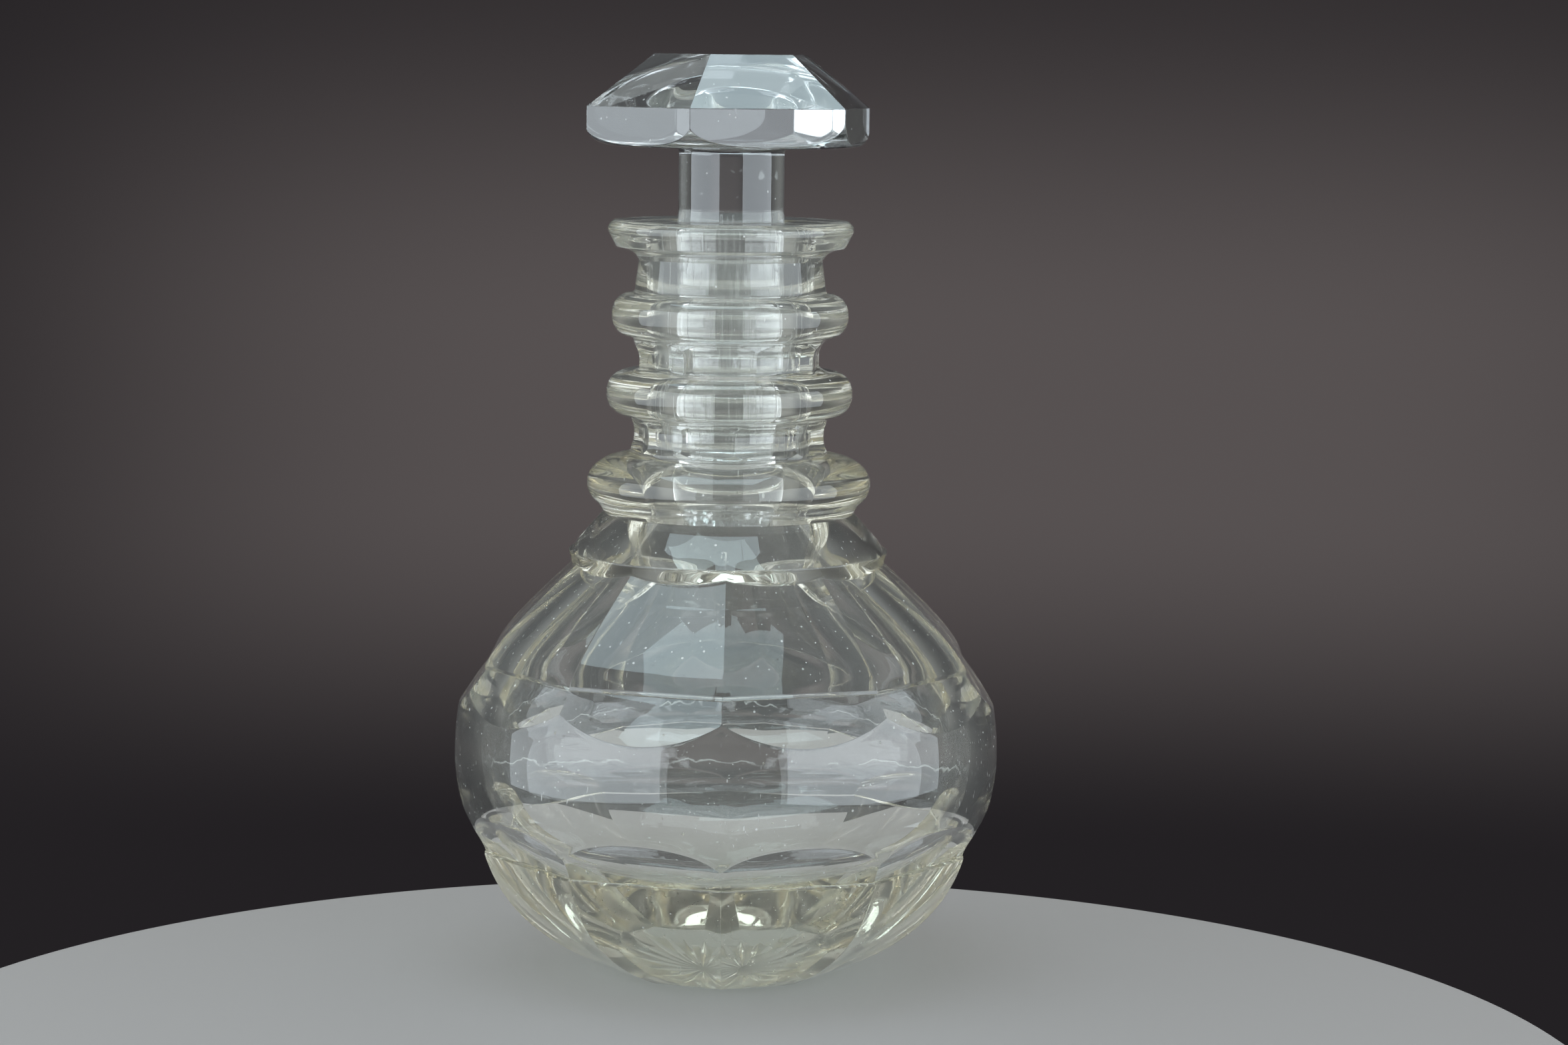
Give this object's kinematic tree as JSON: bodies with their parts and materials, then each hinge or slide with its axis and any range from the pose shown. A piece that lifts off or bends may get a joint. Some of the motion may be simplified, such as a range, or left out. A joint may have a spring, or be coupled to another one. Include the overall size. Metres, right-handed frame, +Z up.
{
  "type": "sherry decanter",
  "caption": "Cut glass decanter with a faceted globe body, a ringed neck with a flat lip, and a lift-out mushroom stopper on a long ground peg.",
  "frame": {"origin": "centre of the flat rest face under the base, on the surface that the decanter stands on", "axes": "+Z up along the neck and stopper, -Y the front, where an arris between two body panels faces"},
  "size_m": [0.1368, 0.1368, 0.23],
  "materials": {
    "decanter_glass": "clear old flint glass with a faint grey green tint, cut and polished, with fine wear scratches and a few seeds",
    "stopper_glass": "clear polished lead glass, nearly colourless, with a finely ground peg"
  },
  "bodies": {
    "decanter": {"decanter_body": "decanter_glass", "shoulder_ring": "decanter_glass", "middle_neck_ring": "decanter_glass", "top_neck_ring": "decanter_glass", "pouring_lip": "decanter_glass"},
    "stopper": {"stopper": "stopper_glass"}
  },
  "joints": [
    {"name": "stopper_lift", "type": "slide", "parent": "decanter", "child": "stopper", "axis": [0, 0, 1], "range_m": [0, 0.08]}
  ]
}
